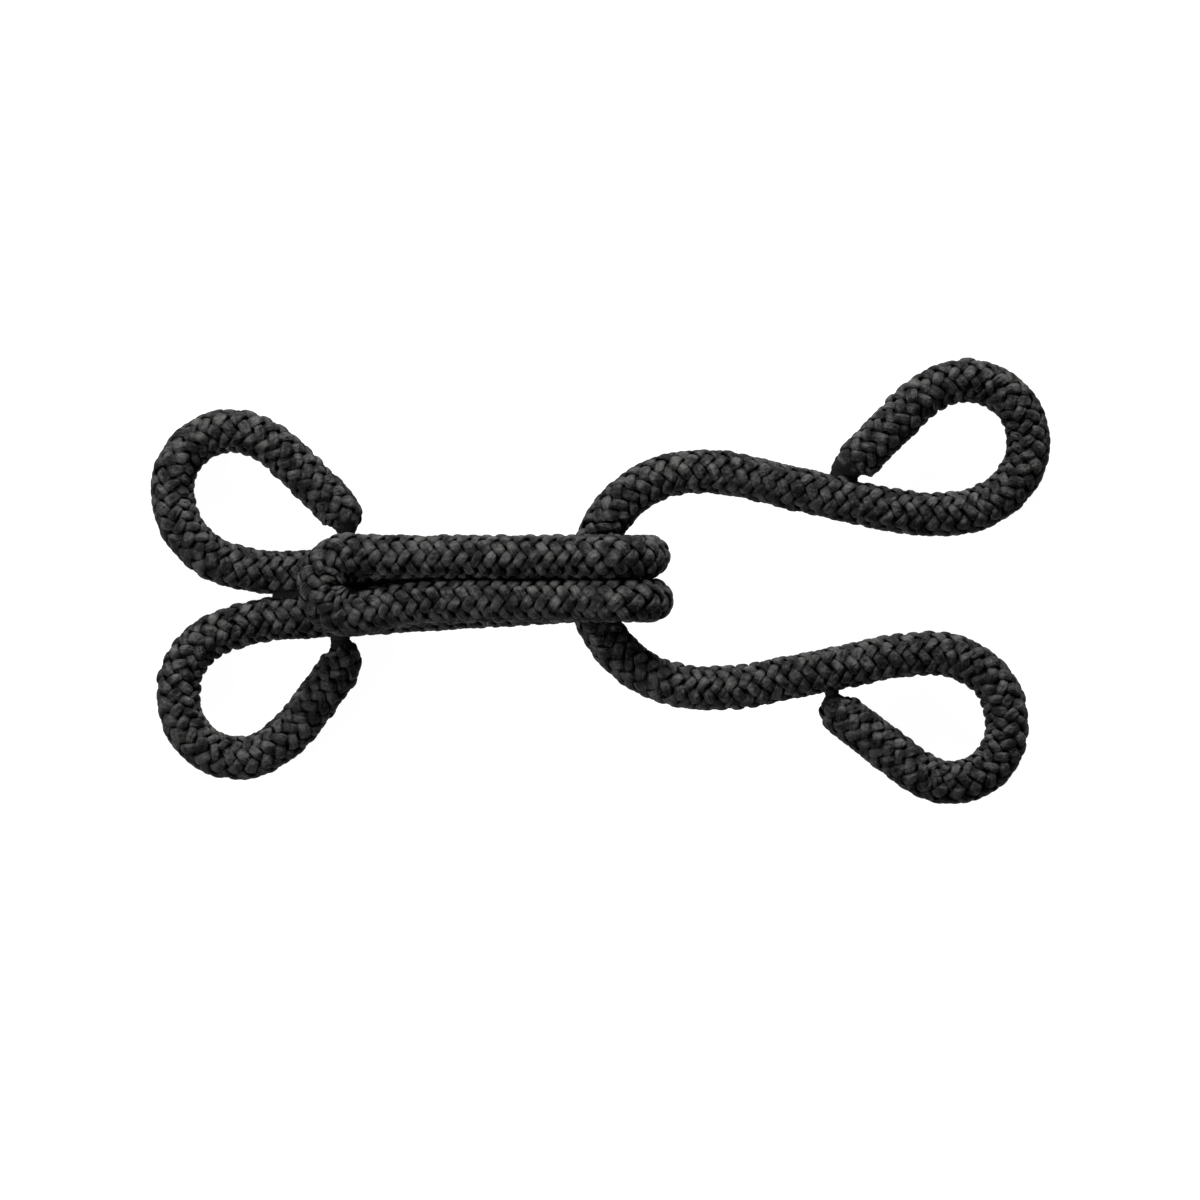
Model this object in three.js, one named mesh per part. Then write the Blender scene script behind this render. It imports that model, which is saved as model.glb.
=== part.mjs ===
// Covered hook and eye clasp, fastened and lying flat.
// Each half is one metal wire in a braided sleeve. Its two ends are bent round into sewing
// loops, and each end is drawn in and tacked to the wire that it comes back to.
// The hook lies along X with its throat at +X. The eye reaches out of the throat to +X.

import * as THREE from 'three';

// Driving dimensions of the covered wire, in millimetres

const coverDiameter = 2.42; // over the braid
const braidWall = 0.36;
const wireClearance = 0.1; // between the braid and the metal wire
const coverSides = 16;
const wireSides = 8;
const bendStep = 15; // degrees of bend to each facet
const endSteps = 5; // facets along each drawn-in end
const roundOff = 1e-4; // of a step, so that whole steps are counted as whole

// Driving dimensions of the hook, in millimetres and degrees

const pairGap = 0.11; // between the two wires side by side in the bill
const noseRadius = 1.7; // of the wire's centreline
const noseOffset = 0.36; // of the nose to the lower side of the bill
const easeRadius = 18; // of the slight bend that brings the two wires together
const billSlope = 7.5; // degrees that the bill falls from the throat to the nose
const upperBillLength = 13.7;
const lowerBillLength = 13.9;
const throatClearance = 0.22; // above and below the eye's wire
const shankYawRadius = 30;
const upperShankYaw = 3; // degrees between the bill and the shank
const lowerShankYaw = 3.3;
const upperShankLength = 15.7;
const lowerShankLength = 15.8;
const hookLoopRadius = 3.3;

// Driving dimensions of the eye, in millimetres

const archRadius = 5.95;
const upperArmLength = 7.1;
const lowerArmLength = 6.4;
const eyeLoopRadius = 3.35;
const eyeSlack = 0.83; // between the eye's arch and the bottom of the throat
const eyeShift = -0.14; // of the arch's middle across the hook

// Driving dimensions of the wire's ends and the tacks, in millimetres

const endBendRadius = 1.6; // of the drawn-in end, which turns to face the wire beside it
const wireSetback = 0.15; // of the metal wire's end behind the drawn-in end
const tackGap = 0.08;
const tackDiameter = 0.72;
const tackLength = 0.25;
const shankTackLength = 8.4;
const shankTackOverhang = 7.4; // back over the straight shanks
const shankTackTop = 0.7; // above the wires' centrelines

// Each loop is bent in a few stretches. Its turns are in degrees and its radii are shares of
// the loop's named radius. Its end bend, its mouth and its tack are shares of the end bend's
// radius, the cover's diameter and the tack's sizes. A tack's shift is along the wire it joins.

const loops = {
  hookUpper: {
    side: -1,
    endBend: 1.2,
    mouth: 0.34,
    tack: { length: 3.2, breadth: 1, shift: 0.15 },
    bends: [
      { turn: 21, radius: 3 },
      { turn: 73, radius: 1.31 },
      { turn: 109, radius: 0.99 },
      { turn: 25, radius: 1.65 },
    ],
  },
  hookLower: {
    side: 1,
    endBend: 1.5,
    mouth: 0.42,
    tack: { length: 1, breadth: 1.3, shift: 0.4 },
    bends: [
      { turn: 16.5, radius: 4 },
      { turn: 104, radius: 1.14 },
      { turn: 88, radius: 0.98 },
      { turn: 22, radius: 2.2 },
    ],
  },
  eyeUpper: {
    side: 1,
    endBend: 0.8,
    mouth: 0.6,
    tack: { length: 1, breadth: 2.2, shift: -0.5 },
    bends: [
      { turn: 7.5, radius: 6.1 },
      { turn: 17, radius: 2.7 },
      { turn: 40, radius: 1.4 },
      { turn: 147, radius: 1.03 },
      { turn: 27, radius: 1.57 },
    ],
  },
  eyeLower: {
    side: -1,
    endBend: 1,
    mouth: 0.46,
    tack: { length: 1, breadth: 1.1, shift: 0 },
    bends: [
      { turn: 8, radius: 6 },
      { turn: 33, radius: 1.45 },
      { turn: 75, radius: 1.13 },
      { turn: 99, radius: 0.92 },
      { turn: 14, radius: 1.8 },
    ],
  },
};

// The eye's arch from its middle to each arm, with radii as shares of the arch's radius

const arches = {
  upper: [
    { turn: 38, radius: 1.03 },
    { turn: 51.5, radius: 1 },
    { turn: 13.5, radius: 2.1 },
  ],
  lower: [
    { turn: 51, radius: 0.96 },
    { turn: 36, radius: 1.15 },
    { turn: 14.5, radius: 2.43 },
  ],
};

// Sizes that follow from these

const coverRadius = coverDiameter / 2;
const coverCornerRadius = coverRadius / Math.cos(Math.PI / coverSides);
const boreRadius = coverRadius - braidWall;
const wireRadius = boreRadius - wireClearance;
const pairSpacing = coverDiameter + pairGap;
const throatHeight = coverDiameter + 2 * throatClearance;
const throatRadius = (throatHeight + coverDiameter) / 2;

const upward = new THREE.Vector3(0, 0, 1);

function radians(degrees) {
  return THREE.MathUtils.degToRad(degrees);
}

// One straight run or round bend of a wire

class Stretch {
  constructor(start, along, axis, angle, length, steps) {
    this.start = start;
    this.along = along;
    this.axis = axis;
    this.angle = angle;
    this.length = length;
    this.steps = steps;
  }

  static run(start, along, length) {
    return new Stretch(start, along, upward, 0, length, 1);
  }

  static bend(start, along, axis, degrees, radius, stepSize = bendStep) {
    const angle = radians(degrees);
    const steps = Math.max(1, Math.ceil(Math.abs(degrees) / stepSize - roundOff));
    return new Stretch(start, along, axis, angle, Math.abs(angle) * radius, steps);
  }

  tangent(share) {
    return this.along.clone().applyAxisAngle(this.axis, this.angle * share);
  }

  // From the bend's centre to the wire
  spoke(share) {
    const radius = this.length / this.angle;
    const outward = this.along.clone().cross(this.axis).multiplyScalar(radius);
    return outward.applyAxisAngle(this.axis, this.angle * share);
  }

  get centre() {
    return this.start.clone().sub(this.spoke(0));
  }

  point(share) {
    if (this.angle === 0) {
      return this.start.clone().addScaledVector(this.along, this.length * share);
    }
    return this.centre.add(this.spoke(share));
  }

  reversed() {
    const along = this.tangent(1).negate();
    const axis = this.axis.clone().negate();
    return new Stretch(this.point(1), along, axis, this.angle, this.length, this.steps);
  }
}

// A wire half that grows from a starting place by runs, flat turns and upright bends.
// A flat turn is anticlockwise from above where it is positive.

class WireHalf {
  constructor(start, along, level) {
    this.place = start.clone();
    this.along = along.clone();
    this.level = level.clone();
    this.stretches = [];
  }

  add(stretch) {
    this.stretches.push(stretch);
    this.along = stretch.tangent(1);
    this.place = stretch.point(1);
    return this;
  }

  run(length) {
    return this.add(Stretch.run(this.place, this.along, length));
  }

  turn(degrees, radius) {
    return this.add(Stretch.bend(this.place, this.along, this.level, degrees, radius));
  }

  // Bends upwards and over or, with a negative angle, downwards
  upright(degrees, radius) {
    const sideways = this.along.clone().cross(this.level).normalize();
    this.add(Stretch.bend(this.place, this.along, sideways, degrees, radius));
    this.level.applyAxisAngle(sideways, radians(degrees));
    if (this.level.z < 0) {
      this.level.negate();
    }
    return this;
  }
}

// The centreline of a whole wire. Its steps are even in every bend, so facets are too.

class WireRoute extends THREE.Curve {
  constructor(stretches) {
    super();
    this.marks = stretches.flatMap((stretch) => {
      const shares = Array.from({ length: stretch.steps }, (_, step) => step / stretch.steps);
      return shares.map((share) => ({ stretch, share, size: 1 / stretch.steps }));
    });
  }

  get stepCount() {
    return this.marks.length;
  }

  locate(t) {
    const place = t * this.stepCount;
    const mark = this.marks[Math.min(Math.floor(place + roundOff), this.stepCount - 1)];
    const within = place - this.marks.indexOf(mark);
    return { stretch: mark.stretch, share: mark.share + within * mark.size };
  }

  getPoint(t, target = new THREE.Vector3()) {
    const { stretch, share } = this.locate(t);
    return target.copy(stretch.point(share));
  }

  getTangent(t, target = new THREE.Vector3()) {
    const { stretch, share } = this.locate(t);
    return target.copy(stretch.tangent(share));
  }

  getPointAt(t, target) {
    return this.getPoint(t, target);
  }

  getTangentAt(t, target) {
    return this.getTangent(t, target);
  }
}

function joined(upperHalf, lowerHalf) {
  const towardsMiddle = upperHalf.stretches.map((stretch) => stretch.reversed()).reverse();
  return new WireRoute([...towardsMiddle, ...lowerHalf.stretches]);
}

// Regular polygon with a flat side towards the floor, measured from its middle to its sides

function polygonPoints(sides, apothem) {
  const corner = apothem / Math.cos(Math.PI / sides);
  return Array.from({ length: sides }, (_, index) => {
    const angle = ((index + 0.5) * 2 * Math.PI) / sides;
    return new THREE.Vector2(corner * Math.cos(angle), corner * Math.sin(angle));
  });
}

function sweep(shape, route) {
  return new THREE.ExtrudeGeometry(shape, {
    steps: route.stepCount,
    extrudePath: route,
    bevelEnabled: false,
  });
}

function addMesh(parent, name, geometry, material) {
  const mesh = new THREE.Mesh(geometry, material);
  mesh.name = name;
  parent.add(mesh);
  return mesh;
}

// Bends a loop and runs its end back towards its neighbour, the straight wire through
// neighbour.place along neighbour.along. The end then turns to face that wire, and its mouth
// stands a tack's length from it.

function addLoop(half, loop, loopRadius, neighbour) {
  for (const bend of loop.bends) {
    half.turn(loop.side * bend.turn, bend.radius * loopRadius);
  }
  const across = upward.clone().cross(neighbour.along).normalize();
  const distance = half.place.clone().sub(neighbour.place).dot(across);
  const towards = across.multiplyScalar(-Math.sign(distance));
  const approach = half.along.dot(towards);
  const slant = Math.sqrt(1 - approach * approach);
  const endRadius = loop.endBend * endBendRadius;
  const tackReach = loop.tack.length * tackLength;
  const mouthDistance = coverRadius + tackReach + 2 * tackGap;
  half.run((Math.abs(distance) - mouthDistance - endRadius * slant) / approach);
  const axis = half.along.clone().cross(towards).normalize();
  const turn = THREE.MathUtils.radToDeg(Math.acos(approach));
  const stepSize = turn / endSteps;
  half.end = Stretch.bend(half.place, half.along, axis, turn, endRadius, stepSize);
  const tackStart = half.end.point(1).addScaledVector(towards, tackGap);
  tackStart.addScaledVector(neighbour.along, loop.tack.shift * tackDiameter);
  half.tack = Stretch.run(tackStart, towards, tackReach);
  half.tackBreadth = loop.tack.breadth;
  half.mouth = loop.mouth;
  return half;
}

// Draws a swept cover's last bend in towards its mouth, as a dome with a small hole

function gatherEnd(geometry, half) {
  const { end, mouth } = half;
  const centre = end.centre;
  const reach = coverCornerRadius + tackGap;
  const positions = geometry.attributes.position;
  const corner = new THREE.Vector3();
  for (let index = 0; index < positions.count; index += 1) {
    corner.fromBufferAttribute(positions, index).sub(centre);
    const flat = corner.clone().projectOnPlane(end.axis);
    const turned = end.spoke(0).cross(flat).dot(end.axis);
    const share = Math.atan2(turned, end.spoke(0).dot(flat)) / end.angle;
    if (share > 0 && share < 1 + roundOff) {
      const ringCentre = end.spoke(Math.min(share, 1));
      const offset = corner.sub(ringCentre);
      if (offset.length() < reach) {
        const roundness = Math.sqrt(1 - Math.min(share, 1) ** 2);
        offset.multiplyScalar(mouth + (1 - mouth) * roundness);
        offset.add(ringCentre).add(centre);
        positions.setXYZ(index, offset.x, offset.y, offset.z);
      }
    }
  }
}

function buildCover(upperHalf, lowerHalf) {
  const withEnds = [upperHalf, lowerHalf].map((half) => ({
    stretches: [...half.stretches, half.end],
  }));
  const section = new THREE.Shape(polygonPoints(coverSides, coverRadius));
  section.holes.push(new THREE.Path(polygonPoints(wireSides, boreRadius)));
  const geometry = sweep(section, joined(...withEnds));
  gatherEnd(geometry, upperHalf);
  gatherEnd(geometry, lowerHalf);
  return geometry;
}

function buildWire(upperHalf, lowerHalf) {
  const setBack = [upperHalf, lowerHalf].map((half) => {
    const last = half.stretches.at(-1);
    const shorter = Stretch.run(last.start, last.along, last.length - wireSetback);
    return { stretches: [...half.stretches.slice(0, -1), shorter] };
  });
  const section = new THREE.Shape(polygonPoints(wireSides, wireRadius));
  return sweep(section, joined(...setBack));
}

function buildEndTack(half) {
  const points = polygonPoints(wireSides, tackDiameter / 2);
  const section = new THREE.Shape(points.map(({ x, y }) => new THREE.Vector2(x, y * half.tackBreadth)));
  return sweep(section, new WireRoute([half.tack]));
}

// The hook: the nose in the middle of the wire, then bill, throat, shank and loop each way

function buildHookHalf(side, billLength, shankYaw, shankLength, loop) {
  const slope = radians(billSlope);
  const level = new THREE.Vector3(-Math.sin(slope), 0, Math.cos(slope));
  const offset = -noseOffset;
  const narrowing = noseRadius + side * offset - pairSpacing / 2;
  const easeAngle = Math.sign(narrowing)
    * Math.acos(1 - Math.abs(narrowing) / (noseRadius + easeRadius));
  const easeLength = (noseRadius + easeRadius) * Math.sin(easeAngle);
  const easeDegrees = THREE.MathUtils.radToDeg(easeAngle);
  const start = new THREE.Vector3(-Math.cos(slope), 0, -Math.sin(slope));
  start.multiplyScalar(noseRadius).setY(offset);
  const half = new WireHalf(start, new THREE.Vector3(0, side, 0), level);
  half.turn(-side * (90 + easeDegrees), noseRadius);
  half.turn(side * easeDegrees, easeRadius);
  half.run(billLength - easeLength);
  half.upright(-180 - billSlope, throatRadius);
  half.turn(shankYaw, shankYawRadius);
  half.run(shankLength);
  const neighbour = { place: half.place.clone(), along: half.along.clone() };
  half.shankEnd = neighbour;
  return addLoop(half, loop, hookLoopRadius, neighbour);
}

// The two places on the shanks' lines that lie abreast of each other at this reach

function abreast(shankEnds, along, reach) {
  return shankEnds.map((end) => {
    const beyond = (reach - end.place.dot(along)) / end.along.dot(along);
    return end.place.clone().addScaledVector(end.along, beyond);
  });
}

// Lies in the valley between the two shanks where the first of them ends. Its sides follow the
// wires from its top down to where they leave it no wider than a gap.

function buildShankTack(upperHalf, lowerHalf) {
  const shankEnds = [upperHalf.shankEnd, lowerHalf.shankEnd];
  const along = shankEnds[0].along.clone().add(shankEnds[1].along).normalize();
  const firstEnd = Math.min(...shankEnds.map((end) => end.place.dot(along)));
  const reach = firstEnd - shankTackOverhang;
  const near = abreast(shankEnds, along, reach);
  const far = abreast(shankEnds, along, reach + shankTackLength);
  const spacing = Math.min(near[0].distanceTo(near[1]), far[0].distanceTo(far[1]));
  const clearRadius = coverCornerRadius + tackGap;
  const narrowest = (spacing - tackGap) / 2;
  const bottom = Math.sqrt(Math.max(0, clearRadius ** 2 - narrowest ** 2));
  const heights = [0, 1, 2, 3].map((step) => bottom + ((shankTackTop - bottom) * step) / 3);
  const flanks = heights.map((height) => {
    const breadth = spacing / 2 - Math.sqrt(clearRadius ** 2 - height ** 2);
    return new THREE.Vector2(-height, breadth);
  });
  const otherFlanks = flanks.map((flank) => new THREE.Vector2(flank.x, -flank.y)).reverse();
  const section = new THREE.Shape([...flanks, ...otherFlanks]);
  const start = near[0].clone().add(near[1]).multiplyScalar(0.5);
  return sweep(section, new WireRoute([Stretch.run(start, along, shankTackLength)]));
}

// The eye: the arch in the middle of the wire, then arm and loop each way

function buildEyeHalf(side, arch, armLength, loop) {
  const half = new WireHalf(new THREE.Vector3(), new THREE.Vector3(0, side, 0), upward);
  for (const bend of arch) {
    half.turn(-side * bend.turn, bend.radius * archRadius);
  }
  half.run(armLength);
  const neighbour = { place: half.place.clone(), along: half.along.clone() };
  return addLoop(half, loop, eyeLoopRadius, neighbour);
}

const braidMaterial = new THREE.MeshStandardMaterial({ color: 0x2b2c2c, roughness: 0.85 });
const wireMaterial = new THREE.MeshStandardMaterial({ color: 0x8c8c88, roughness: 0.4, metalness: 1 });
const tackMaterial = new THREE.MeshStandardMaterial({ color: 0x0d0d0e, roughness: 0.7 });

const clasp = new THREE.Group();

const hook = new THREE.Group();
const hookUpper = buildHookHalf(1, upperBillLength, upperShankYaw, upperShankLength, loops.hookUpper);
const hookLower = buildHookHalf(-1, lowerBillLength, lowerShankYaw, lowerShankLength, loops.hookLower);
addMesh(hook, 'hook_cover', buildCover(hookUpper, hookLower), braidMaterial);
addMesh(hook, 'hook_wire', buildWire(hookUpper, hookLower), wireMaterial);
addMesh(hook, 'hook_upper_tack', buildEndTack(hookUpper), tackMaterial);
addMesh(hook, 'hook_lower_tack', buildEndTack(hookLower), tackMaterial);
addMesh(hook, 'hook_shank_tack', buildShankTack(hookUpper, hookLower), tackMaterial);
clasp.add(hook);

const eye = new THREE.Group();
const eyeUpper = buildEyeHalf(1, arches.upper, upperArmLength, loops.eyeUpper);
const eyeLower = buildEyeHalf(-1, arches.lower, lowerArmLength, loops.eyeLower);
addMesh(eye, 'eye_cover', buildCover(eyeUpper, eyeLower), braidMaterial);
addMesh(eye, 'eye_wire', buildWire(eyeUpper, eyeLower), wireMaterial);
addMesh(eye, 'eye_upper_tack', buildEndTack(eyeUpper), tackMaterial);
addMesh(eye, 'eye_lower_tack', buildEndTack(eyeLower), tackMaterial);
clasp.add(eye);

// The eye's arch lies over the shanks inside the throat, and its loops lie level with them

const throatReach = Math.min(upperBillLength, lowerBillLength) * Math.cos(radians(billSlope))
  + throatRadius * (1 + Math.sin(radians(billSlope)));
const archRise = coverDiameter + throatClearance;
const eyeReach = new THREE.Box3().setFromObject(eye).max.x - coverRadius;
eye.rotation.y = Math.asin(archRise / eyeReach);
const hookBottom = new THREE.Box3().setFromObject(hook, true).min.z;
const eyeBottom = new THREE.Box3().setFromObject(eye, true).min.z;
eye.position.set(throatReach - coverDiameter - eyeSlack, eyeShift, hookBottom - eyeBottom);

const bounds = new THREE.Box3().setFromObject(clasp, true);
const middle = bounds.getCenter(new THREE.Vector3());
clasp.position.set(-middle.x, -middle.y, -bounds.min.z);
clasp.updateMatrixWorld(true);

export default clasp;
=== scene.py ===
import math
import random

import bpy
import numpy as np
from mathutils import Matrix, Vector


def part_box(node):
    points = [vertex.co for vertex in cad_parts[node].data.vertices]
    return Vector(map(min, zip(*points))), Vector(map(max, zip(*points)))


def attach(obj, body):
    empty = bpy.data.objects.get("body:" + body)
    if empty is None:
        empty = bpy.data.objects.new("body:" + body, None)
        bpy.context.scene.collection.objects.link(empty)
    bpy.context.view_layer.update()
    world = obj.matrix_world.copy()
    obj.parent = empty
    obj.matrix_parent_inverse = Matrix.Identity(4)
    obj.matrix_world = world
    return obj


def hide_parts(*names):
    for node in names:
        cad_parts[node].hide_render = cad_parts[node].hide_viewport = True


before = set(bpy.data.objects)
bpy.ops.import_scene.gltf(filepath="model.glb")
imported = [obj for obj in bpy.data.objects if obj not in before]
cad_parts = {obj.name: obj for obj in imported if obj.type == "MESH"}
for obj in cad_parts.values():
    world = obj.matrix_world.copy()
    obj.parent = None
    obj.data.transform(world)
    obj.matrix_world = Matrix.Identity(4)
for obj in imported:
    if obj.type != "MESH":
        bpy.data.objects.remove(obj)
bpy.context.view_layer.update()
rng = random.Random(11)

MM = 0.001
UP = np.array([0.0, 0.0, 1.0])

# Sizes of the wires, repeated from part.mjs, in millimetres and degrees

COVER_RADIUS = 1.21
NOSE_RADIUS = 1.7
NOSE_OFFSET = 0.36
EASE_RADIUS = 18
BILL_SLOPE = 7.5
THROAT_CLEARANCE = 0.22
SHANK_YAW_RADIUS = 30
HOOK_LOOP_RADIUS = 3.3
EYE_LOOP_RADIUS = 3.35
ARCH_RADIUS = 5.95
END_BEND_RADIUS = 1.6
TACK_GAP = 0.08
TACK_DIAMETER = 0.72
TACK_LENGTH = 0.25

# Between the bill's two wires, closer than in part.mjs so that no light shows between the braids

WIRE_GAP = -0.01

# The halves of each wire, from the nose or the arch's middle to the closed end. A bend is its turn
# and its radius as a share of the loop's or the arch's. The end's bend, its mouth and the tack's
# length, breadth and shift are shares too, and the cuff is how far the neck reaches over the end.

HALVES = {
    "hook_upper": {
        "side": 1, "bill": 13.7, "yaw": 3, "shank": 15.7,
        "loop_side": -1, "bends": [(21, 3), (73, 1.31), (109, 0.99), (25, 1.65)],
        "end_bend": 1.2, "mouth": 0.34, "cuff": 0.65,
        "tack": 3.2, "breadth": 1, "tack_shift": 0.15,
    },
    "hook_lower": {
        "side": -1, "bill": 13.9, "yaw": 3.3, "shank": 15.8,
        "loop_side": 1, "bends": [(16.5, 4), (104, 1.14), (88, 0.98), (22, 2.2)],
        "end_bend": 1.5, "mouth": 0.42, "cuff": 0.4,
        "tack": 1, "breadth": 1.5, "tack_shift": 0.4,
    },
    "eye_upper": {
        "side": 1, "arch": [(38, 1.03), (51.5, 1), (13.5, 2.1)], "arm": 7.1,
        "loop_side": 1, "bends": [(7.5, 6.1), (17, 2.7), (40, 1.4), (147, 1.03), (27, 1.57)],
        "end_bend": 0.8, "mouth": 0.6, "cuff": 0.45,
        "tack": 1, "breadth": 2.2, "tack_shift": -0.5,
    },
    "eye_lower": {
        "side": -1, "arch": [(51, 0.96), (36, 1.15), (14.5, 2.43)], "arm": 6.4,
        "loop_side": -1, "bends": [(8, 6), (33, 1.45), (75, 1.13), (99, 0.92), (14, 1.8)],
        "end_bend": 1, "mouth": 0.46, "cuff": 0.2,
        "tack": 1, "breadth": 1.1, "tack_shift": 0,
    },
}

# The braid: strands each way, the length of wire from one row of crossings to the next, and how
# far each strand rises and falls about its middle

LAYS = 5
PITCH = 0.81
TURN_PER_MM = 2 * math.pi / (LAYS * PITCH)
STRAND_MIDDLE = 0.945
STRAND_WAVE = 0.135
STRAND_RISE = 0.04  # of the crowns above the plain sleeve
PLATEAU = 1.5
STEPS_PER_CROSSING = 6
CORE_RADIUS = 0.92
CORE_SIDES = 16
CORE_RINGS_PER_MM = 2.5

# One strand: height above and below its middle, half width, and the share of the room it fills

STRAND_TOP = 0.17
STRAND_BOTTOM = 0.06
STRAND_COVER = 0.86
NARROWEST_STRAND = 0.12
WIDEST_STRAND = 0.42
WIDTH_WAVE = 0.1

# The strand's section from its middle, as shares of its half width and of its height

SECTION = [
    (1, 0), (0.85, 0.66), (0.45, 0.95), (-0.05, 1), (-0.5, 0.93), (-0.88, 0.6), (-1, -0.1), (0, -1),
]
STRAND_SIDES = len(SECTION)

# Where the sleeve closes: the least shares of wave and height, and how a strand ends

LEAST_WAVE = 0.6
LEAST_HEIGHT = 0.45
TIP_LENGTH = 0.4
TIP_HEIGHT = 0.4
TIP_WIDTH = 0.5
TIP_SINK = 0.3

# On the inner side of a tight bend the strands bunch up towards the bend's middle

BUNCH_GAP = 0.1
BUNCH_FADE = 0.7
BUNCH_ROOM = 1.5
BUNCH_RANGE = 1.2
BUNCH_REACH = 0.6
LEAST_CURVE = 0.1

# Unevenness of the braid: the length between changes, and their size as a share, in millimetres
# or in radians

WIDTH_CHANGES = (0.4, 0.1)
HEIGHT_CHANGES = (0.4, 0.03)
SLIP_CHANGES = (0.5, 0.035)
PITCH_CHANGES = (2.3, 0.05)
TWIST_CHANGES = (6, 0.18)

# Steps of the fibre texture from strand to strand and from lay to lay, so that no two look alike

FIBRE_STEP = 7.3
FIBRE_LAY_STEP = 31

# Necks of thread and glue at the closed ends

NECK_ROWS = 30
NECK_SIDES = 24
NECK_SINK = 0.45  # into the wire beside the end
NECK_FLARE = 0.14
NECK_RIM = (0.7, 0.93)  # shares of the first two rows
NECK_ROUGHNESS = (0.22, 0.025)
NECK_RIPPLE = 0.015

# Turns of thread over the tack between the shanks

THREAD_PITCH = 0.21
THREAD_RADII = (0.085, 0.12)
THREAD_LEAN = 0.12
THREAD_SLIP = 0.03
THREAD_START = 0.08
THREAD_HEIGHT = 0.02
THREAD_SAG = 0.16
THREAD_SIDES = 6
THREAD_STEPS = 8

# The photo's scale and the pixel where the part's origin lies, and the camera that matches them

PHOTO_PIXELS = 1200
PIXELS_PER_MM = 18
ORIGIN_PIXEL = (600.5, 581.5)
CAMERA_HEIGHT = 1.2
SCALE_HEIGHT = 0.003  # where a millimetre takes 18 pixels
SENSOR_WIDTH = 36

FLOOR_SIZE = 3
FLOOR_DROP = 0.00003


def unit(vector):
    return vector / np.linalg.norm(vector, axis=-1, keepdims=True)


def turned(vector, axis, angle):
    cosine, sine = math.cos(angle), math.sin(angle)
    return vector * cosine + np.cross(axis, vector) * sine + axis * (axis @ vector) * (1 - cosine)


def closing(share):
    """How open a closing end still is at a share of its bend, between a dome and a cone."""
    share = np.clip(share, 0, 1)
    return 0.5 * np.sqrt(1 - share * share) + 0.5 * (1 - share ** 1.3)


# Routes of the wires


class Stretch:
    """One straight run or round bend of a wire. A stretch with an end closes towards it."""

    def __init__(self, start, along, axis, angle, length, end=None, mouth=1):
        self.start, self.along, self.axis = start, along, axis
        self.angle, self.length, self.end, self.mouth = angle, length, end, mouth

    def spoke(self):
        """From the bend's middle to its start."""
        return np.cross(self.along, self.axis) * (self.length / self.angle)

    def tangent(self, share):
        return turned(self.along, self.axis, self.angle * share)

    def point(self, share):
        if self.angle == 0:
            return self.start + self.along * self.length * share
        spoke = self.spoke()
        return self.start - spoke + turned(spoke, self.axis, self.angle * share)

    def openness(self, share):
        return self.mouth + (1 - self.mouth) * closing(share)

    def reversed(self):
        end = None if self.end is None else "start"
        along = -self.tangent(1)
        return Stretch(self.point(1), along, -self.axis, self.angle, self.length, end, self.mouth)


class Half:
    """Half of a wire, grown stretch by stretch from the nose or the arch's middle."""

    def __init__(self, place, along, level):
        self.place = np.array(place, float)
        self.along = np.array(along, float)
        self.level = np.array(level, float)
        self.stretches = []

    def add(self, stretch):
        self.stretches.append(stretch)
        self.along, self.place = stretch.tangent(1), stretch.point(1)

    def run(self, length):
        self.add(Stretch(self.place, self.along, UP, 0, length))

    def turn(self, degrees, radius):
        angle = math.radians(degrees)
        self.add(Stretch(self.place, self.along, self.level, angle, abs(angle) * radius))

    def upright(self, degrees, radius):
        angle = math.radians(degrees)
        sideways = unit(np.cross(self.along, self.level))
        self.add(Stretch(self.place, self.along, sideways, angle, abs(angle) * radius))
        self.level = turned(self.level, sideways, angle)
        if self.level[2] < 0:
            self.level = -self.level

    def loop(self, sizes, loop_radius):
        """The sewing loop, which comes back to the wire and bends square to it at its end."""
        neighbour, self.neighbour_along = self.place.copy(), self.along.copy()
        for degrees, share in sizes["bends"]:
            self.turn(sizes["loop_side"] * degrees, share * loop_radius)
        across = unit(np.cross(UP, self.neighbour_along))
        distance = (self.place - neighbour) @ across
        self.towards = across * -math.copysign(1, distance)
        approach = self.along @ self.towards
        slant = math.sqrt(1 - approach * approach)
        end_radius = sizes["end_bend"] * END_BEND_RADIUS
        reach = sizes["tack"] * TACK_LENGTH
        mouth = COVER_RADIUS + reach + 2 * TACK_GAP
        self.run((abs(distance) - mouth - end_radius * slant) / approach)
        axis = unit(np.cross(self.along, self.towards))
        angle = math.acos(approach)
        self.add(Stretch(self.place, self.along, axis, angle, angle * end_radius, "end", sizes["mouth"]))


def hook_half(sizes):
    side, slope = sizes["side"], math.radians(BILL_SLOPE)
    start = [-NOSE_RADIUS * math.cos(slope), -NOSE_OFFSET, -NOSE_RADIUS * math.sin(slope)]
    half = Half(start, [0, side, 0], [-math.sin(slope), 0, math.cos(slope)])
    narrowing = NOSE_RADIUS - side * NOSE_OFFSET - (COVER_RADIUS + WIRE_GAP / 2)
    ease = math.copysign(math.acos(1 - abs(narrowing) / (NOSE_RADIUS + EASE_RADIUS)), narrowing)
    half.turn(-side * (90 + math.degrees(ease)), NOSE_RADIUS)
    half.turn(side * math.degrees(ease), EASE_RADIUS)
    half.run(sizes["bill"] - (NOSE_RADIUS + EASE_RADIUS) * math.sin(ease))
    half.upright(-180 - BILL_SLOPE, 2 * COVER_RADIUS + THROAT_CLEARANCE)
    half.turn(sizes["yaw"], SHANK_YAW_RADIUS)
    half.run(sizes["shank"])
    half.loop(sizes, HOOK_LOOP_RADIUS)
    return half


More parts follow.
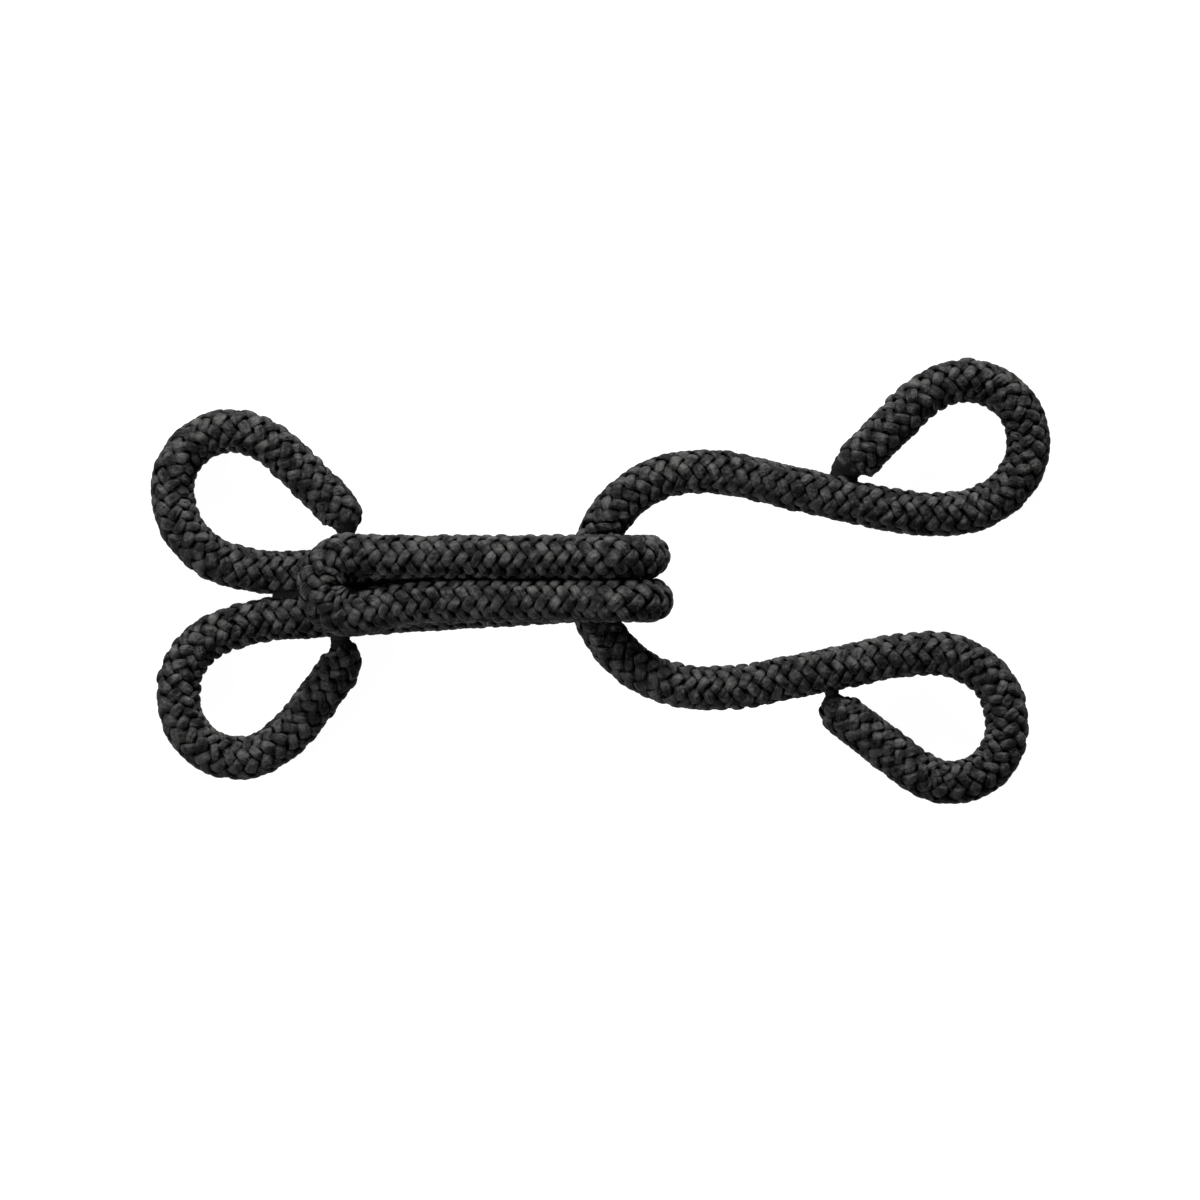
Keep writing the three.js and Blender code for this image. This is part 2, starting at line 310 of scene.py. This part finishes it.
def eye_half(sizes):
    half = Half([0, 0, 0], [0, sizes["side"], 0], UP)
    for degrees, share in sizes["arch"]:
        half.turn(-sizes["side"] * degrees, share * ARCH_RADIUS)
    half.run(sizes["arm"])
    half.loop(sizes, EYE_LOOP_RADIUS)
    return half


class Route:
    """A whole wire: points, directions and an untwisted frame at any length along it."""

    def __init__(self, upper, lower):
        self.stretches = [s.reversed() for s in reversed(upper.stretches)] + lower.stretches
        self.starts = np.concatenate([[0], np.cumsum([s.length for s in self.stretches])])
        self.length = self.starts[-1]
        along = self.stretches[0].along
        self.normals = [unit(UP - along * (UP @ along))]
        for stretch in self.stretches:
            self.normals.append(turned(self.normals[-1], stretch.axis, stretch.angle))
        self.turn, self.shift = np.eye(3), np.zeros(3)

    def at(self, places):
        """Points, tangents, normals, openness of the sleeve, curvature, and share of bunching."""
        last = len(self.stretches) - 1
        index = np.clip(np.searchsorted(self.starts, places, side="right") - 1, 0, last)
        points, tangents, normals, bend = (np.zeros((len(places), 3)) for _ in range(4))
        gather, bunch = np.ones(len(places)), np.zeros(len(places))
        for k, stretch in enumerate(self.stretches):
            here = index == k
            if not here.any():
                continue
            share = (places[here] - self.starts[k]) / stretch.length
            angle = stretch.angle * share
            cosine, sine = np.cos(angle)[:, None], np.sin(angle)[:, None]

            def spin(vector, axis=stretch.axis, cosine=cosine, sine=sine):
                return vector * cosine + np.cross(axis, vector) * sine + axis * (axis @ vector) * (1 - cosine)

            tangents[here] = spin(stretch.along)
            normals[here] = spin(self.normals[k])
            if stretch.angle == 0:
                points[here] = stretch.start + stretch.along * (stretch.length * share)[:, None]
            else:
                spoke = stretch.spoke()
                outward = spin(spoke)
                points[here] = stretch.start - spoke + outward
                bend[here] = outward / (outward * outward).sum(1)[:, None]
            if stretch.end:
                gather[here] = stretch.openness(share if stretch.end == "end" else 1 - share)
            else:
                fade = np.clip(np.minimum(share, 1 - share) * stretch.length / BUNCH_FADE, 0, 1)
                bunch[here] = fade * fade * (3 - 2 * fade)
        turn = self.turn.T
        return points @ turn + self.shift, tangents @ turn, normals @ turn, gather, bend @ turn, bunch

    def box(self):
        """The corners of the box around the plain sleeve."""
        points, tangents, *_ = self.at(np.linspace(0, self.length, 4000))
        reach = COVER_RADIUS * np.sqrt(1 - np.clip(tangents ** 2, 0, 1))
        return (points - reach).min(0), (points + reach).max(0)

    def lean(self):
        """Tilts the eye so that its arch lies over the shanks and its loops lie on the surface."""
        reach = self.box()[1][0] - COVER_RADIUS
        tilt = math.asin((2 * COVER_RADIUS + THROAT_CLEARANCE) / reach)
        cosine, sine = math.cos(tilt), math.sin(tilt)
        self.turn = np.array([[cosine, 0, sine], [0, 1, 0], [-sine, 0, cosine]])

    def seat(self, node):
        """Moves the route so that its sleeve's box has its middle and floor where the node has them."""
        low, high = (np.array(corner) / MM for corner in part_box(node))
        own_low, own_high = self.box()
        shift = (low + high - own_low - own_high) / 2
        shift[2] = low[2] - own_low[2] + STRAND_RISE
        self.shift = self.shift + shift


def wander(length, spacing, size):
    """A smooth seeded wander along a length, for the small unevenness of a real braid."""
    knots = np.array([rng.gauss(0, size) for _ in range(int(length / spacing) + 4)])

    def value(places):
        place = np.clip(np.asarray(places) / spacing, 0, len(knots) - 2.001)
        k = place.astype(int)
        share = place - k
        share = share * share * (3 - 2 * share)
        return knots[k] * (1 - share) + knots[k + 1] * share

    return value


# Meshes


def add_mesh(name, verts, faces, material, uvs=None, replaces=()):
    mesh = bpy.data.meshes.new(name)
    mesh.from_pydata((np.asarray(verts) * MM).tolist(), [], faces)
    mesh.shade_smooth()
    if uvs is not None:
        layer = mesh.uv_layers.new(name="strand")
        corners = np.zeros(len(mesh.loops), np.int32)
        mesh.loops.foreach_get("vertex_index", corners)
        layer.data.foreach_set("uv", np.asarray(uvs, np.float32)[corners].ravel())
    mesh.materials.append(material)
    obj = bpy.data.objects.new(name, mesh)
    bpy.context.scene.collection.objects.link(obj)
    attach(obj, "root")
    if replaces:
        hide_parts(*replaces)
    return obj


def tube_faces(rings, sides, first=0):
    faces = []
    for ring in range(rings - 1):
        a, b = first + ring * sides, first + (ring + 1) * sides
        for k in range(sides):
            n = (k + 1) % sides
            faces.append((a + k, a + n, b + n, b + k))
    faces.append(tuple(first + k for k in reversed(range(sides))))
    last = first + (rings - 1) * sides
    faces.append(tuple(last + k for k in range(sides)))
    return faces


def bunching(outward, bend, bunch):
    """How far the strands on the inner side of a tight bend stand in towards its middle."""
    curve = np.linalg.norm(bend, axis=1)
    inward = np.clip(-(outward * bend).sum(1) / np.maximum(curve, 1e-9), 0, 1)
    room = 1 / np.maximum(curve, LEAST_CURVE) - COVER_RADIUS - BUNCH_GAP
    tight = np.clip((BUNCH_ROOM - room) / BUNCH_RANGE, 0, 1) * bunch
    return np.clip(room, 0, 1) * tight * inward ** 3 * np.minimum(1, room + BUNCH_REACH)


class Strand:
    """One strand of one lay of a braid. A lay turns one way around the wire, as 1 or -1."""

    def __init__(self, route, lay, index, warp, twist):
        self.route, self.lay, self.index = route, lay, index
        self.warp, self.twist = warp, twist
        self.swell = wander(route.length, *WIDTH_CHANGES)
        self.lift = wander(route.length, *HEIGHT_CHANGES)
        self.slip = wander(route.length, *SLIP_CHANGES)

    def line(self, places):
        """Its middle line and what shapes its section there."""
        points, tangents, normals, gather, bend, bunch = self.route.at(places)
        sideways = np.cross(tangents, normals)
        pattern = places + self.warp(places)
        theta = 2 * math.pi * self.index / LAYS + self.lay * TURN_PER_MM * pattern
        theta = theta + self.twist(places) + self.slip(places)
        outward = normals * np.cos(theta)[:, None] + sideways * np.sin(theta)[:, None]
        wave = self.lay * np.tanh(PLATEAU * np.cos(LAYS * TURN_PER_MM * pattern)) / math.tanh(PLATEAU)
        rise = (STRAND_WAVE * wave + self.lift(places)) * np.clip(gather, LEAST_WAVE, 1)
        radius = (STRAND_MIDDLE + rise) * gather + bunching(outward, bend, bunch)
        stretch = 1 + radius * (outward * bend).sum(1)
        return points + outward * radius[:, None], outward, stretch, gather, radius, wave

    def mesh(self):
        """Its rings of points, their number, their texture coordinates and a painted shade share, lower where
        the strand dives and on its underside.
        """
        length = self.route.length
        steps = int(LAYS * TURN_PER_MM * length / math.pi * STEPS_PER_CROSSING)
        places = np.linspace(0, length, steps + 1)
        middle, outward, stretch, gather, radius, wave = self.line(places)
        ahead, *_ = self.line(np.clip(places + 0.01, 0, length))
        behind, *_ = self.line(np.clip(places - 0.01, 0, length))
        along = unit(ahead - behind)
        raised = unit(outward - along * (outward * along).sum(1)[:, None])
        across = np.cross(raised, along)

        rise = TURN_PER_MM * radius
        spacing = PITCH * stretch * rise / np.sqrt(stretch ** 2 + rise ** 2)
        half_width = np.clip(spacing * STRAND_COVER / 2, NARROWEST_STRAND, WIDEST_STRAND)
        half_width = half_width * (1 + self.swell(places)) * (1 - WIDTH_WAVE + WIDTH_WAVE * wave)
        tip = np.sqrt(np.clip(np.minimum(places, length - places) / TIP_LENGTH, 0, 1))
        half_width = half_width * (TIP_WIDTH + (1 - TIP_WIDTH) * tip)
        height = np.clip(gather, LEAST_HEIGHT, 1) * (TIP_HEIGHT + (1 - TIP_HEIGHT) * tip)
        middle = middle - outward * (radius * TIP_SINK * (1 - tip))[:, None]

        corners = []
        for x, z in SECTION:
            tall = STRAND_TOP if z > 0 else STRAND_BOTTOM
            corners.append(
                middle + across * (half_width * x)[:, None] + raised * (tall * z * height)[:, None]
            )
        verts = np.stack(corners, axis=1).reshape(-1, 3)

        travelled = np.concatenate([[0], np.cumsum(np.linalg.norm(np.diff(middle, axis=0), axis=1))])
        travelled = travelled + FIBRE_STEP * self.index + FIBRE_LAY_STEP * (self.lay + 1)
        around = np.arange(STRAND_SIDES) / STRAND_SIDES
        uvs = np.stack([np.repeat(travelled, STRAND_SIDES), np.tile(around, len(places))], axis=1)
        # Painted shade: a share per point that darkens the colour. It is lower on each strand's underside and
        # where the strand dives under the other lay.
        tops = np.clip([0.5 + z / 2 for _, z in SECTION], 0, 1)
        painted_pit_shade = ((0.5 + 0.5 * wave)[:, None] * tops[None, :]).ravel()
        return verts, len(places), uvs, painted_pit_shade


def build_braid(name, route, material):
    warp = wander(route.length, *PITCH_CHANGES)
    twist = wander(route.length, *TWIST_CHANGES)
    for lay, letter in ((1, "a"), (-1, "b")):
        verts, faces, uvs, painted_pit_shades, count = [], [], [], [], 0
        for index in range(LAYS):
            points, rings, uv, painted_pit_shade = Strand(route, lay, index, warp, twist).mesh()
            faces += tube_faces(rings, STRAND_SIDES, count)
            verts.append(points)
            uvs.append(uv)
            painted_pit_shades.append(painted_pit_shade)
            count += len(points)
        obj = add_mesh(
            f"{name}_braid_{letter}", np.concatenate(verts), faces, material,
            np.concatenate(uvs), (f"{name}_cover",),
        )
        # Painted shade: the share is stored on the mesh so that the material can darken the pits and
        # undersides
        layer = obj.data.attributes.new("painted_pit_shade", "FLOAT", "POINT")
        layer.data.foreach_set("value", np.concatenate(painted_pit_shades).astype(np.float32))


def build_core(name, route, material):
    """The dark tube under a braid, seen through the gaps between strands; its near-black colour is painted
    shade in those gaps.
    """
    steps = int(route.length * CORE_RINGS_PER_MM)
    points, tangents, normals, gather, *_ = route.at(np.linspace(0, route.length, steps + 1))
    sideways = np.cross(tangents, normals)
    angle = 2 * math.pi * np.arange(CORE_SIDES) / CORE_SIDES
    ring = normals[:, None] * np.cos(angle)[None, :, None] + sideways[:, None] * np.sin(angle)[None, :, None]
    verts = (points[:, None] + ring * (CORE_RADIUS * gather)[:, None, None]).reshape(-1, 3)
    add_mesh(f"{name}_core", verts, tube_faces(steps + 1, CORE_SIDES), material)


def build_neck(name, half, route, sizes, material):
    """A dark neck of thread and glue that joins a closed end to the wire beside it."""
    end, cuff = half.stretches[-1], sizes["cuff"]
    reach = sizes["tack"] * TACK_LENGTH + 2 * TACK_GAP
    breadth, height = TACK_DIAMETER / 2 * sizes["breadth"], TACK_DIAMETER / 2
    shift = half.neighbour_along * sizes["tack_shift"] * TACK_DIAMETER
    widest = COVER_RADIUS * end.openness(1 - cuff / end.length)
    rough = wander(8, *NECK_ROUGHNESS)
    verts = []
    for row in range(NECK_ROWS):
        depth = -cuff + (cuff + reach + NECK_SINK) * row / (NECK_ROWS - 1)
        share = min(1, 1 + depth / end.length)
        funnel = min(1, (depth + cuff) / (0.5 * reach + cuff)) ** 0.8
        foot = max(0, (depth - 0.5 * reach) / (0.5 * reach + NECK_SINK))
        wide = widest + (breadth - widest) * funnel + NECK_FLARE * foot * foot
        tall = widest + (height - widest) * funnel
        middle = end.point(share) + half.towards * max(0, depth) + shift * funnel
        along = end.tangent(share)
        side_way = unit(half.neighbour_along - along * (half.neighbour_along @ along))
        up_way = np.cross(along, side_way)
        rim = NECK_RIM[row] if row < len(NECK_RIM) else 1
        for side in range(NECK_SIDES):
            angle = 2 * math.pi * side / NECK_SIDES
            lump = 1 + rough((side * 0.25 + row * 0.17) % 6) + NECK_RIPPLE * math.sin(row * 2.2)
            lump *= rim
            verts.append(
                middle + side_way * (wide * lump * math.cos(angle)) + up_way * (tall * lump * math.sin(angle))
            )
    verts = np.array(verts) @ route.turn.T + route.shift
    faces = tube_faces(NECK_ROWS, NECK_SIDES)
    add_mesh(f"{name}_neck", verts, faces, material, None, (f"{name}_tack",))


def build_shank_thread(material):
    """Turns of thread drawn tight over the tack between the shanks."""
    low, high = (np.array(corner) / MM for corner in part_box("hook_shank_tack"))
    half = (high[1] - low[1]) / 2
    verts, faces = [], []
    for turn in range(int((high[0] - low[0]) / THREAD_PITCH)):
        lean = rng.uniform(-THREAD_LEAN, THREAD_LEAN)
        thick = rng.uniform(*THREAD_RADII)
        x = low[0] + THREAD_START + turn * THREAD_PITCH
        y = (low[1] + high[1]) / 2 + rng.uniform(-THREAD_SLIP, THREAD_SLIP)
        faces += tube_faces(THREAD_STEPS, THREAD_SIDES, len(verts))
        for step in range(THREAD_STEPS):
            across = step / (THREAD_STEPS - 1) * 2 - 1
            sag = THREAD_SAG * (1 - across * across)
            centre = np.array([x + lean * across, y + across * half, high[2] + THREAD_HEIGHT - sag])
            for side in range(THREAD_SIDES):
                angle = 2 * math.pi * side / THREAD_SIDES
                verts.append(centre + np.array([thick * math.cos(angle), 0, thick * math.sin(angle)]))
    add_mesh("hook_shank_thread", np.array(verts), faces, material)


# Materials


def new_material(name, roughness, specular):
    material = bpy.data.materials.new(name)
    material.use_nodes = True
    shader = material.node_tree.nodes["Principled BSDF"]
    shader.inputs["Roughness"].default_value = roughness
    shader.inputs["Specular IOR Level"].default_value = specular
    return material, material.node_tree, shader


def add_noise(tree, vector, scale, detail=2):
    noise = tree.nodes.new("ShaderNodeTexNoise")
    noise.inputs["Scale"].default_value = scale
    noise.inputs["Detail"].default_value = detail
    tree.links.new(vector, noise.inputs["Vector"])
    return noise.outputs["Fac"]


def add_ramp(tree, factor, dark, light, low=0, high=1):
    ramp = tree.nodes.new("ShaderNodeValToRGB")
    first, last = ramp.color_ramp.elements
    first.position, first.color = low, (*dark, 1)
    last.position, last.color = high, (*light, 1)
    tree.links.new(factor, ramp.inputs["Fac"])
    return ramp.outputs["Color"]


def add_bump(tree, height, strength, distance):
    bump = tree.nodes.new("ShaderNodeBump")
    bump.inputs["Strength"].default_value = strength
    bump.inputs["Distance"].default_value = distance
    tree.links.new(height, bump.inputs["Height"])
    return bump


def object_place(tree):
    return tree.nodes.new("ShaderNodeTexCoord").outputs["Object"]


def braid_material():
    """Charcoal fibres along each strand, in patches, with painted shade in the pits between crossings and on
    the strands' undersides.
    """
    material, tree, shader = new_material("charcoal_braid", 0.65, 0.05)
    nodes, links = tree.nodes, tree.links
    uv = nodes.new("ShaderNodeUVMap")
    uv.uv_map = "strand"
    stretch = nodes.new("ShaderNodeMapping")
    stretch.inputs["Scale"].default_value = (0.9, 26, 1)
    links.new(uv.outputs["UV"], stretch.inputs["Vector"])
    place = object_place(tree)
    fibres = add_noise(tree, stretch.outputs["Vector"], 1, 3)
    patches = add_noise(tree, place, 1500)
    mix = nodes.new("ShaderNodeMix")
    mix.inputs["Factor"].default_value = 0.6
    links.new(fibres, mix.inputs["A"])
    links.new(patches, mix.inputs["B"])
    dark, light = (0.0028, 0.003, 0.0031), (0.043, 0.0433, 0.0418)
    colour = add_ramp(tree, mix.outputs["Result"], dark, light, 0.43, 0.66)

    # Painted shade: the colour is scaled down by the share stored on the mesh, so it is darker in the pits
    # between crossings and on the strands' undersides
    painted_pit_shade = nodes.new("ShaderNodeAttribute")
    painted_pit_shade.attribute_name = "painted_pit_shade"
    depth = nodes.new("ShaderNodeMapRange")
    depth.inputs["From Min"].default_value = 0.2
    depth.inputs["From Max"].default_value = 0.92
    links.new(painted_pit_shade.outputs["Fac"], depth.inputs["Value"])
    shade = nodes.new("ShaderNodeVectorMath")
    shade.operation = "SCALE"
    links.new(colour, shade.inputs[0])
    links.new(depth.outputs["Result"], shade.inputs["Scale"])
    links.new(shade.outputs["Vector"], shader.inputs["Base Color"])

    lumps = add_bump(tree, add_noise(tree, place, 4200, 3), 1, 0.0002)
    bump = add_bump(tree, fibres, 0.4, 0.00004)
    links.new(lumps.outputs["Normal"], bump.inputs["Normal"])
    links.new(bump.outputs["Normal"], shader.inputs["Normal"])
    return material


def core_material():
    material, tree, shader = new_material("braid_inside_painted_shade", 0.9, 0.02)
    # Painted shade: near black, darker than the braid's own fibre, so that the gaps between strands read as
    # deep shade
    grain = add_noise(tree, object_place(tree), 4000)
    tree.links.new(add_ramp(tree, grain, [0.002] * 3, [0.008] * 3), shader.inputs["Base Color"])
    return material


def tack_material():
    material, tree, shader = new_material("tack_thread_and_glue", 0.8, 0.06)
    grain = add_noise(tree, object_place(tree), 3500, 4)
    bump = add_bump(tree, grain, 0.5, 0.00005)
    tree.links.new(add_ramp(tree, grain, [0.0015] * 3, [0.006] * 3), shader.inputs["Base Color"])
    tree.links.new(bump.outputs["Normal"], shader.inputs["Normal"])
    return material


def wire_material():
    material, tree, shader = new_material("drawn_wire", 0.4, 0.5)
    grain = add_noise(tree, object_place(tree), 2500)
    colour = add_ramp(tree, grain, (0.22, 0.22, 0.21), (0.32, 0.32, 0.31))
    tree.links.new(colour, shader.inputs["Base Color"])
    shader.inputs["Metallic"].default_value = 1
    return material


# Floor, lights and camera


def add_floor():
    material, _, shader = new_material("floor_white", 0.9, 0.1)
    shader.inputs["Base Color"].default_value = (0.12, 0.12, 0.12, 1)
    shader.inputs["Emission Color"].default_value = (1, 1, 1, 1)
    shader.inputs["Emission Strength"].default_value = 0.98
    mesh = bpy.data.meshes.new("floor")
    reach = FLOOR_SIZE / 2
    corners = [(-reach, -reach, 0), (reach, -reach, 0), (reach, reach, 0), (-reach, reach, 0)]
    mesh.from_pydata(corners, [], [(0, 1, 2, 3)])
    mesh.materials.append(material)
    obj = bpy.data.objects.new("floor", mesh)
    obj.location.z = -FLOOR_DROP
    bpy.context.scene.collection.objects.link(obj)


def add_light(name, data, place, target):
    obj = bpy.data.objects.new(name, data)
    obj.location = place
    obj.rotation_euler = (Vector(target) - Vector(place)).to_track_quat("-Z", "Y").to_euler()
    bpy.context.scene.collection.objects.link(obj)


def area_light(name, place, size, power):
    data = bpy.data.lights.new(name, "AREA")
    data.shape = "DISK"
    data.size = size
    data.energy = power
    add_light(name, data, place, (0, 0, 0))


def spot_light(name, place, target, size, power, cone):
    data = bpy.data.lights.new(name, "SPOT")
    data.shadow_soft_size = size
    data.energy = power
    data.spot_size = math.radians(cone)
    data.spot_blend = 1
    add_light(name, data, place, target)


def add_world():
    world = bpy.data.worlds.new("studio")
    world.use_nodes = True
    background = world.node_tree.nodes["Background"]
    background.inputs["Color"].default_value = (1, 1, 1, 1)
    background.inputs["Strength"].default_value = 0.01
    bpy.context.scene.world = world
    bpy.context.scene.view_settings.view_transform = "Standard"


def add_camera():
    """Looks straight down with the photo's scale and its place of the origin."""
    data = bpy.data.cameras.new("camera")
    data.sensor_width = SENSOR_WIDTH
    data.lens = SENSOR_WIDTH * (CAMERA_HEIGHT - SCALE_HEIGHT) / (PHOTO_PIXELS / PIXELS_PER_MM * MM)
    data.clip_start, data.clip_end = 0.01, 10
    middle = PHOTO_PIXELS / 2
    x = (middle - ORIGIN_PIXEL[0]) / PIXELS_PER_MM * MM
    y = (ORIGIN_PIXEL[1] - middle) / PIXELS_PER_MM * MM
    camera = bpy.data.objects.new("camera", data)
    camera.location = (x, y, CAMERA_HEIGHT)
    bpy.context.scene.collection.objects.link(camera)
    bpy.context.scene.camera = camera


# The clasp

halves = {
    name: (hook_half if name.startswith("hook") else eye_half)(sizes) for name, sizes in HALVES.items()
}
routes = {name: Route(halves[f"{name}_upper"], halves[f"{name}_lower"]) for name in ("hook", "eye")}
routes["eye"].lean()
for name, route in routes.items():
    route.seat(f"{name}_cover")

braid, inside = braid_material(), core_material()
steel, thread = wire_material(), tack_material()
for name, route in routes.items():
    build_braid(name, route, braid)
for name, route in routes.items():
    build_core(name, route, inside)
for name, half in halves.items():
    build_neck(name, half, routes[name.split("_")[0]], HALVES[name], thread)
build_shank_thread(thread)
for name, material in (("hook_wire", steel), ("eye_wire", steel), ("hook_shank_tack", thread)):
    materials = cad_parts[name].data.materials
    materials.clear()
    materials.append(material)

# The studio

add_floor()
area_light("key", (0, 0.56, 0.22), 0.3, 16)
area_light("overhead", (0, 0.05, 0.7), 0.5, 0.5)
spot_light("loop_fill", (-0.28, -0.12, 0.24), (-0.0175, -0.0065, 0), 0.03, 120, 3.4)
add_world()
add_camera()
